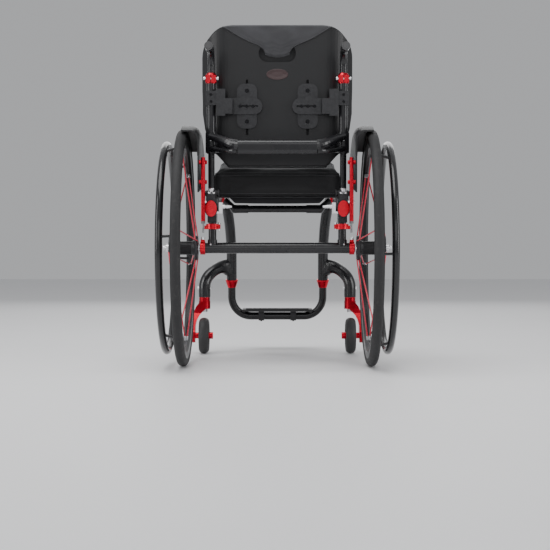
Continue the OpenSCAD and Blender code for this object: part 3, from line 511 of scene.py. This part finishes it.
# Boxy nodes whose edges are broken by a small chamfer, in mm
SOFT_EDGES = {
    "back_brackets": 0.7, "bracket_plates": 0.8, "hinge_bases": 0.7, "axle_stems": 0.8,
    "guard_bars": 0.6, "height_clamps": 0.8, "red_frame_clamps": 0.7, "footrest_collars": 0.7,
    "axle_clamps": 0.8, "frame_end_caps": 0.7, "footplate": 0.8, "footplate_clamps": 0.7,
    "left_side_guard": 0.9, "right_side_guard": 0.9, "left_caster_fork": 1.2,
    "right_caster_fork": 1.2, "lock_sectors": 0.5, "left_hub": 0.6, "right_hub": 0.6,
}


def dress_nodes():
    for look, names in NODE_LOOKS.items():
        for name in names:
            node = nodes[name]
            node.data.materials.clear()
            node.data.materials.append(MATERIALS[look])
    for name, width in SOFT_EDGES.items():
        bevel = nodes[name].modifiers.new("edges", "BEVEL")
        bevel.width = width * MM
        bevel.segments = 2
        bevel.limit_method = "ANGLE"
        bevel.angle_limit = math.radians(42)
        bevel.use_clamp_overlap = True


# ---------------------------------------------------------------- soft pieces

def points_of(obj):
    return np.array([v.co for v in obj.data.vertices], float)


def set_points(obj, points):
    obj.data.vertices.foreach_set("co", np.asarray(points, np.float32).ravel())
    obj.data.update()


def to_row(matrix, points_mm):
    """Points in mm in a local frame, as row frame points in metres."""
    m = np.array(matrix)
    return (np.asarray(points_mm, float) * MM) @ m[:3, :3].T + m[:3, 3]


def inflate(obj, held, pressure, cap, frames=20):
    """Swells a closed mesh by cloth simulation. held stays in place, and no point moves more than cap."""
    start = points_of(obj)
    group = obj.vertex_groups.new(name="held")
    group.add([int(i) for i in held], 1.0, "REPLACE")
    cloth = obj.modifiers.new("cloth", "CLOTH")
    settings = cloth.settings
    settings.quality = 5
    settings.mass = 0.3
    settings.tension_stiffness = settings.compression_stiffness = 12
    settings.shear_stiffness = 6
    settings.bending_stiffness = 0.6
    settings.use_pressure = True
    settings.uniform_pressure_force = pressure
    settings.vertex_group_mass = "held"
    settings.effector_weights.gravity = 0.0
    cloth.point_cache.frame_start = 1
    cloth.point_cache.frame_end = frames
    for number in range(1, frames + 1):
        scene.frame_set(number)
    graph = bpy.context.evaluated_depsgraph_get()
    moved = np.array([v.co for v in obj.evaluated_get(graph).data.vertices], float)
    obj.modifiers.remove(cloth)
    obj.vertex_groups.remove(group)
    scene.frame_set(1)
    shift = moved - start
    far = np.linalg.norm(shift, axis=1, keepdims=True)
    set_points(obj, start + shift * np.minimum(1.0, cap / np.maximum(far, 1e-9)))


def subdivide(obj):
    obj.modifiers.new("smooth", "SUBSURF").levels = 1
    apply_modifiers(obj)
    obj.data.shade_smooth()


def surface_of(obj):
    return BVHTree.FromPolygons([tuple(v.co) for v in obj.data.vertices],
                                [tuple(p.vertices) for p in obj.data.polygons])


def tube_piece(name, loops, radius, material, body, closed=False, sides=8):
    bm = bmesh.new()
    for points in loops:
        tube_mesh(bm, [Vector(p) for p in points], radius, sides, closed)
    return finish_piece(object_from(bm, name), material, body)


def stitches(name, lines, pitch, length, radius, material, body):
    """Short thread stitches along each line of points."""
    bm = bmesh.new()
    for line in lines:
        line = np.asarray(line, float)
        steps = np.linalg.norm(np.diff(line, axis=0), axis=1)
        run = np.concatenate([[0.0], np.cumsum(steps)])
        at = np.arange(pitch, run[-1] - pitch, pitch)
        for s in at:
            ends = [Vector([np.interp(t, run, line[:, k]) for k in range(3)])
                    for t in (s, s + length / 2, s + length)]
            tube_mesh(bm, ends, radius, 5)
    return finish_piece(object_from(bm, name), material, body)


# ---------------------------------------------------------------- seat cushion

CUSHION = {"x": 165.0, "y": (50.0, 434.0), "z": (24.8, 84.0), "corner": 24.0}


def rounded_rectangle(half_x, y0, y1, r, step=6.0):
    """Points and outward directions round a rectangle with round corners."""
    points = []
    corners = ((half_x - r, y1 - r, 0), (-half_x + r, y1 - r, 90), (-half_x + r, y0 + r, 180),
               (half_x - r, y0 + r, 270))
    for i, (cx, cy, a0) in enumerate(corners):
        for k in range(9):
            a = math.radians(a0 + 90 * k / 8)
            points.append((cx + r * math.cos(a), cy + r * math.sin(a), math.cos(a), math.sin(a)))
        nx, ny, _ = corners[(i + 1) % 4]
        a = math.radians(a0 + 90)
        p = np.array([cx + r * math.cos(a), cy + r * math.sin(a)])
        q = np.array([nx + r * math.cos(a), ny + r * math.sin(a)])
        count = int(np.linalg.norm(q - p) / step)
        for k in range(1, count):
            x, y = p + (q - p) * k / count
            points.append((x, y, math.cos(a), math.sin(a)))
    return points


def make_seat_cushion():
    half_x, (y0, y1), (z0, z1) = CUSHION["x"], CUSHION["y"], CUSHION["z"]
    bm = bmesh.new()
    outline = rounded_rectangle(half_x, y0, y1, CUSHION["corner"])
    low = [bm.verts.new((x, y, z0)) for x, y, _, _ in outline]
    high = [bm.verts.new((x, y, z1)) for x, y, _, _ in outline]
    bm.faces.new(low[::-1])
    bm.faces.new(high)
    for i in range(len(low)):
        j = (i + 1) % len(low)
        bm.faces.new((low[i], low[j], high[j], high[i]))
    for height, offset in ((z0, 3.0), (z1, 7.0)):
        rim = [e for e in bm.edges if all(abs(v.co.z - height) < 0.01 for v in e.verts)]
        bmesh.ops.bevel(bm, geom=rim, offset=offset, segments=4, profile=0.5, affect="EDGES")
    for v in bm.verts:
        v.co = SEAT @ (v.co * MM)
    obj = object_from(bm, "seat_cushion_pad")
    remesh = obj.modifiers.new("remesh", "REMESH")
    remesh.mode = "VOXEL"
    remesh.voxel_size = 0.006
    apply_modifiers(obj)
    local = np.array(SEAT.inverted())
    flat = points_of(obj) @ local[:3, :3].T + local[:3, 3]
    inflate(obj, np.nonzero(flat[:, 2] < (z0 + 1.5) * MM)[0], 4.0, 0.0095)
    subdivide(obj)
    place = points_of(obj) @ local[:3, :3].T + local[:3, 3]
    place[:, 2] = np.maximum(place[:, 2], z0 * MM)
    # the user's weight has left a shallow hollow, deeper towards the rear
    x, y = place[:, 0] / MM, place[:, 1] / MM
    hollow = 6.0 * np.exp(-(x / 105.0) ** 2 - ((y - 190.0) / 120.0) ** 2)
    share = np.clip((place[:, 2] / MM - z0) / (z1 - z0), 0.0, 1.0)
    place[:, 2] -= hollow * share * MM
    m = np.array(SEAT)
    set_points(obj, place @ m[:3, :3].T + m[:3, 3])
    finish_piece(obj, "cover_fabric", "frame", ["seat_cushion"])

    tree = surface_of(obj)
    loops = []
    for height in (80.0, 28.0):
        loop = []
        for x, y, nx, ny in rounded_rectangle(half_x, y0, y1, CUSHION["corner"]):
            start = Vector(to_row(SEAT, [(x + nx * 30, y + ny * 30, height)])[0])
            inward = (SEAT.to_3x3() @ Vector((-nx, -ny, 0.0))).normalized()
            hit = tree.ray_cast(start, inward)[0]
            if hit is not None:
                loop.append(hit)
        loops.append(loop)
    piping = tube_piece("seat_cushion_piping", loops, 0.0016, "piping_fabric", "frame",
                        closed=True)
    pulls = []
    for loop in loops:
        for offset in (-4.5, 4.5):
            up = SEAT.to_3x3() @ Vector((0.0, 0.0, offset * MM))
            line = []
            for p in loop:
                out = Vector((p - SEAT @ Vector((0.0, 0.24, 0.05)))).normalized()
                hit = tree.ray_cast(p + up + out * 0.02, -out)[0]
                if hit is not None:
                    line.append(hit + out * 0.0002)
            pulls.append(line)
    thread = stitches("seat_cushion_stitches", pulls, 0.0042, 0.0026, 0.00032, "thread_grey", "frame")
    # each piece gets a mesh of its own
    for piece in (obj, piping, thread):
        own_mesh(piece)


# ---------------------------------------------------------------- back cushion and its flap

SHELL_REAR = 15.0
SHELL_TOP = 412.0
PAD_REAR = 18.9
FLAT = 115.0
WING = 85.0
PAD_TOP = SHELL_TOP + 3.0
PAD_LOW = 66.0
PAD_HALF = 191.0
LOWER_EDGE = ((120, PAD_LOW), (158, 102), (171, 128), (181, 160), (187, 200), (187, 226), (PAD_HALF, 256))
CORNER = 74.0


def pad_half_width(h):
    if h <= 256:
        return float(np.interp(h, [p[1] for p in LOWER_EDGE], [p[0] for p in LOWER_EDGE]))
    rise = max(0.0, h - (PAD_TOP - CORNER))
    return PAD_HALF - CORNER + math.sqrt(max(0.0, CORNER ** 2 - rise ** 2))


def on_back(s, offset):
    """x and y of a point at arc length s across the back, offset mm in front of the cushion's rear face."""
    radius = WING - (PAD_REAR - SHELL_REAR)
    side = math.copysign(1.0, s)
    over = abs(s) - FLAT
    if over <= 0:
        return s, PAD_REAR + offset
    angle = over / radius
    return (side * (FLAT + (radius - offset) * math.sin(angle)),
            SHELL_REAR + WING - (radius - offset) * math.cos(angle))


def across(x):
    """Arc length across the back's rear face to the half width x."""
    radius = WING - (PAD_REAR - SHELL_REAR)
    return x if x <= FLAT else FLAT + radius * math.asin(min(0.999, (x - FLAT) / radius))


def rim_distance(s, h, rim):
    """Distance from the points (s, h) to a closed outline."""
    best = np.full(len(s), 1e9)
    p = np.stack([s, h], axis=1)
    for a, b in zip(rim, np.roll(rim, -1, axis=0)):
        d = b - a
        t = np.clip(((p - a) @ d) / max(d @ d, 1e-9), 0, 1)[:, None]
        best = np.minimum(best, np.linalg.norm(p - (a + t * d), axis=1))
    return best


def seam_distance(s, h):
    """Distance to the nearest seam of the back cushion's front: two upright and two level ones."""
    upright = np.where((h > 96), np.abs(np.abs(s) - 108.0), 99.0)
    level = np.minimum(np.abs(h - 196.0), np.abs(h - 318.0))
    level = np.where(np.abs(s) < 110.0, level, 99.0)
    return np.minimum(upright, level)


def make_back_cushion():
    rows, columns = 74, 92
    heights = np.linspace(PAD_LOW, PAD_TOP, rows)
    spans = [across(pad_half_width(h)) for h in heights]
    grid = [(f * spans[i], heights[i]) for i in range(rows) for f in np.linspace(-1, 1, columns)]
    s, h = np.array(grid).T
    rim = np.array([(spans[i], heights[i]) for i in range(rows)]
                   + [(-spans[i], heights[i]) for i in range(rows - 1, -1, -1)])
    edge = rim_distance(s, h, rim)
    round_rear = 1 - np.sqrt(1 - (1 - np.clip(edge / 8.0, 0, 1)) ** 2)
    round_front = np.sqrt(1 - (1 - np.clip(edge / 20.0, 0, 1)) ** 2)
    thick = np.minimum(24.0, 12.0 + (h - PAD_LOW) * 0.30)
    middle = np.minimum(9.0, thick * 0.5)
    rear = middle * round_rear
    front = middle + (thick - middle) * round_front
    seam = seam_distance(s, h)
    front = front - np.minimum(4.0, thick * 0.25) * np.exp(-(seam / 5.0) ** 2) * round_front

    def layer(offsets):
        return [(*on_back(a, o), b) for a, b, o in zip(s, h, offsets)]

    number = np.arange(rows * columns).reshape(rows, columns)
    inside = np.zeros((rows, columns), bool)
    inside[1:-1, 1:-1] = True
    front_index = number.copy()
    front_index[inside] = rows * columns + np.arange(inside.sum())
    front_points = [p for p, keep in zip(layer(front), inside.ravel()) if keep]
    points = layer(rear) + front_points
    faces = []
    for i in range(rows - 1):
        for k in range(columns - 1):
            faces.append((number[i, k], number[i, k + 1], number[i + 1, k + 1], number[i + 1, k]))
            faces.append((front_index[i, k], front_index[i + 1, k], front_index[i + 1, k + 1],
                          front_index[i, k + 1]))
    faces = [tuple(int(n) for n in f) for f in faces]
    obj = mesh_from("back_cushion_pad", to_row(BACK, points), faces)
    held = list(range(rows * columns))
    kept_seam = seam[inside.ravel()] < 3.2
    held += [rows * columns + int(i) for i in np.nonzero(kept_seam)[0]]
    inflate(obj, held, 4.5, 0.007)
    subdivide(obj)
    finish_piece(obj, "cover_fabric", "backrest", ["back_cushion"])

    tree = surface_of(obj)
    forward = (BACK.to_3x3() @ Vector((0.0, -1.0, 0.0))).normalized()

    def front_line(points_sh):
        """The line across the cushion's front that covers these (s, h) points."""
        line = []
        for a, b in points_sh:
            x, _ = on_back(a, 20.0)
            hit = tree.ray_cast(Vector(to_row(BACK, [(x, 140.0, b)])[0]), forward)[0]
            if hit is not None:
                line.append(hit)
        return line

    def sewn(points_sh, apart):
        lines = []
        base = front_line(points_sh)
        for sign in (-1, 1):
            moved = [(a + sign * apart * du, b + sign * apart * dv) for (a, b), (du, dv) in zip(
                points_sh, normals_of(points_sh))]
            lines.append(front_line(moved))
        return base, lines

    def normals_of(points_sh):
        p = np.array(points_sh, float)
        t = np.gradient(p, axis=0)
        t /= np.linalg.norm(t, axis=1, keepdims=True)
        return [(-b, a) for a, b in t]

    seams = [[(side * 108.0, b) for b in np.linspace(84, 400, 60)] for side in (-1, 1)]
    seams += [[(a, b) for a in np.linspace(-104, 104, 44)] for b in (196.0, 318.0)]
    bases, threads = [], []
    for seam_line in seams:
        base, lines = sewn(seam_line, 4.0)
        bases.append(base)
        threads += [[p - forward * 0.0003 for p in line] for line in lines]
    tube_piece("back_cushion_seams", bases, 0.0009, "piping_fabric", "backrest")
    stitches("back_cushion_stitches", threads, 0.0042, 0.0026, 0.00032, "thread_grey", "backrest")

    border = [(spans[i] + 0.6, heights[i]) for i in range(rows)]
    border += [(f * spans[-1], PAD_TOP + 0.6) for f in np.linspace(0.96, -0.96, 40)]
    border += [(-spans[i] - 0.6, heights[i]) for i in range(rows - 1, -1, -1)]
    border += [(f * spans[0], PAD_LOW - 0.6) for f in np.linspace(-0.96, 0.96, 40)]
    loop = []
    for a, b in border:
        offset = 6.0 + 3.0 * min(1.0, (b - PAD_LOW) / 20.0)
        loop.append(to_row(BACK, [(*on_back(a, offset), b)])[0])
    tube_piece("back_cushion_piping", [loop], 0.0019, "piping_fabric", "backrest", True)


# Right edge of the flap on the shell's rear: half width and height, from the shell's top to the slot
FLAP_EDGE = ((133, 411), (128, 406.5), (108, 394.5), (88.7, 383.4), (68, 374), (48.7, 366.3),
             (38, 360), (33.2, 354), (31.6, 350))


def top_at(x):
    """Height of the cushion's top edge at x."""
    over = max(0.0, abs(x) - (PAD_HALF - CORNER))
    return PAD_TOP - CORNER + math.sqrt(CORNER ** 2 - over ** 2)


def make_flap():
    """The cover's flap: from the cushion's top over the shell's edge, and down to a V in the carry slot."""
    columns = 49
    across_f = np.linspace(-1, 1, columns)
    rows = []
    # over the top, from the front to the rear; then down the shell's rear face, and forward into the slot
    for y, h, half in ((43.5, -11.0, 127), (41.5, -5.0, 131), (36.5, -0.2, 134), (29.0, 1.4, 135),
                       (22.0, 1.4, 135), (16.5, 0.2, 134.5), (13.6, -2.4, 133)):
        rows.append([(f * half, y, top_at(f * half) + h - 1.6 * abs(f) ** 6) for f in across_f])
    edge_h = np.array([p[1] for p in FLAP_EDGE], float)
    edge_w = np.array([p[0] for p in FLAP_EDGE], float)
    for h in np.linspace(409.0, 350.0, 26):
        half = float(np.interp(-h, -edge_h, edge_w))
        low = (409.0 - h) / 59.0
        line = []
        for f in across_f:
            # the middle hangs lower and stands a little further out than the edges
            lift = 1.3 + 2.4 * (1 - f * f) * math.sin(math.pi * min(1.0, low * 1.1)) + 0.35 * math.sin(9 * f)
            drop = 7.5 * low * (1 - f * f)
            line.append((f * half, SHELL_REAR - lift, min(h, top_at(f * half) - 3.0) - drop))
        rows.append(line)
    for y, drop in ((14.8, 3.2), (17.6, 5.2), (20.5, 6.4)):
        rows.append([(f * 30.5, y, 350.0 - drop - 7.5 * (1 - f * f)) for f in across_f])
    points = [p for line in rows for p in line]
    count = len(rows)
    faces = [(i * columns + k, i * columns + k + 1, (i + 1) * columns + k + 1, (i + 1) * columns + k)
             for i in range(count - 1) for k in range(columns - 1)]
    grid = np.array(points).reshape(count, columns, 3)
    obj = mesh_from("cover_flap", to_row(BACK, points), faces)
    solid = obj.modifiers.new("thickness", "SOLIDIFY")
    solid.thickness = 0.0011
    solid.offset = 0.0
    solid.use_even_offset = True
    apply_modifiers(obj)
    subdivide(obj)
    finish_piece(obj, "flap_fabric", "backrest")

    hems, threads = [], []
    for column in (0, columns - 1):
        edge = to_row(BACK, grid[2:count - 2, column])
        hems.append(edge)
        inside = grid[2:count - 2, column] * 0.965
        inside[:, 1:] = grid[2:count - 2, column][:, 1:]
        inside[:, 1] -= 1.5
        threads.append(to_row(BACK, inside))
    hem = tube_piece("cover_flap_hem", hems, 0.0012, "piping_fabric", "backrest")
    line = stitches("cover_flap_stitches", threads, 0.0042, 0.0026, 0.00032, "thread_grey", "backrest")


def make_badge():
    """A plain raised oval where the shell has its badge."""
    bm = bmesh.new()
    rings = ((27.0, 13.5, 0.0), (27.0, 13.5, 0.5), (26.2, 12.7, 0.9), (24.8, 11.4, 0.9), (24.2, 10.8, 0.6),
             (12.0, 5.4, 0.75))
    loops = []
    for rx, rz, out in rings:
        loops.append([bm.verts.new(BACK @ (Vector((rx * math.cos(a), SHELL_REAR - 0.15 - out,
                                                   294.4 + rz * math.sin(a))) * MM))
                      for a in np.linspace(0, 2 * math.pi, 64, endpoint=False)])
    for a, b in zip(loops, loops[1:]):
        for i in range(64):
            j = (i + 1) % 64
            bm.faces.new((a[i], b[i], b[j], a[j]))
    bm.faces.new(loops[0])
    bm.faces.new(loops[-1][::-1])
    bmesh.ops.recalc_face_normals(bm, faces=bm.faces)
    finish_piece(object_from(bm, "plain_badge"), "badge_red", "backrest")


# ---------------------------------------------------------------- seat sling

def make_sling():
    """The sling's top sheet between the seat tubes, with the tension straps' pack below it."""
    columns, lines = 45, 44
    points = []
    for y in np.linspace(45, 375, lines):
        for x in np.linspace(-166.5, 166.5, columns):
            sag = 0.9 * math.cos(math.pi * x / 333) * math.sin(math.pi * (y - 45) / 330)
            points.append((x, y, 22.9 - sag + 0.15 * math.sin(y / 9.0)))
    faces = [(i * columns + k, i * columns + k + 1, (i + 1) * columns + k + 1, (i + 1) * columns + k)
             for i in range(lines - 1) for k in range(columns - 1)]
    sheet = mesh_from("sling_sheet", to_row(SEAT, points), faces)
    solid = sheet.modifiers.new("thickness", "SOLIDIFY")
    solid.thickness = 0.0014
    solid.offset = 0.0
    apply_modifiers(sheet)
    finish_piece(sheet, "mesh_fabric", "frame", ["seat_sling"])

    section = [(-105, 6.4), (-60, 5.4), (0, 5.0), (60, 5.4), (105, 6.4), (108, 7.6), (120, 20.0),
               (118.5, 21.6), (60, 21.8), (0, 21.8), (-60, 21.8), (-118.5, 21.6), (-120, 20.0),
               (-108, 7.6)]
    section = np.array(section)
    centre = np.array([0.0, 15.0])
    bm = bmesh.new()
    rings = []
    depth = np.linspace(61, 369, 78)
    for i, y in enumerate(depth):
        phase = ((y - 61) % 61.6) / 61.6
        gap = math.exp(-((phase - 0.5) / 0.5) ** 16)
        ends = min(1.0, (min(y - 61, 369 - y) + 0.4) / 4.0)
        scale = np.array([0.975 + 0.025 * gap, 0.80 + 0.20 * gap]) * (0.93 + 0.07 * math.sqrt(ends))
        ring = centre + (section - centre) * scale
        ring[:, 1] = np.minimum(ring[:, 1], 21.8)
        rings.append([bm.verts.new(SEAT @ (Vector((x, y, z)) * MM)) for x, z in ring])
    for a, b in zip(rings, rings[1:]):
        for i in range(len(a)):
            j = (i + 1) % len(a)
            bm.faces.new((a[i], a[j], b[j], b[i]))
    bm.faces.new(rings[0][::-1])
    bm.faces.new(rings[-1])
    bmesh.ops.recalc_face_normals(bm, faces=bm.faces)
    pack = object_from(bm, "tension_strap_pack", smooth=False)
    bevel = pack.modifiers.new("soft_edges", "BEVEL")
    bevel.width = 0.0012
    bevel.segments = 2
    bevel.limit_method = "ANGLE"
    apply_modifiers(pack)
    pack.data.shade_smooth()
    finish_piece(pack, "webbing", "frame")

    edges = [to_row(SEAT, [(x, y, 21.9 if abs(x) < 121 else 22.2) for x in np.linspace(-163, 163, 60)])
             for y in (49.0, 371.0)]
    thread = stitches("sling_stitches", edges, 0.0045, 0.003, 0.0004, "thread_grey", "frame")


# ---------------------------------------------------------------- tyres

TYRE_MID = 282.5
TYRE_HALF = 12.5


def make_tyre(side):
    """High-pressure tyre: two fine grooves, slanted sipes on the shoulders and a rim strip."""
    steps, ring = 420, 30
    centre = AXLE[side]
    points, faces = [], []
    for i in range(steps):
        a = 2 * math.pi * i / steps
        for k in range(ring):
            b = 2 * math.pi * k / ring
            out, wide = math.cos(b), math.sin(b)
            r = TYRE_HALF - 0.15
            tread = max(0.0, out)
            if abs(wide) < 0.42 and out > 0:
                groove = math.exp(-((abs(wide) - 0.21) / 0.06) ** 2)
                r -= 0.55 * groove
            elif out > 0.25:
                slant = math.sin(a * 84 + wide * 3.0)
                r -= 0.4 * max(0.0, slant) ** 2 * min(1.0, tread)
            if -0.62 < out < -0.38:
                r += 0.35
            radius = TYRE_MID + r * out
            points.append((centre.x + r * wide * MM, centre.y + radius * math.cos(a) * MM,
                           centre.z + radius * math.sin(a) * MM))
    for i in range(steps):
        j = (i + 1) % steps
        for k in range(ring):
            m = (k + 1) % ring
            faces.append((i * ring + k, i * ring + m, j * ring + m, j * ring + k))
    obj = mesh_from(side + "_treaded_tyre", points, faces)
    finish_piece(obj, "tyre_rubber", side + "_rear_wheel", [side + "_tyre"])


# ---------------------------------------------------------------- the scene

make_materials()
make_camera()
make_studio()
make_floor()
dress_nodes()
make_seat_cushion()
make_back_cushion()
make_flap()
make_badge()
make_sling()
for side in SIDES:
    make_tyre(side)
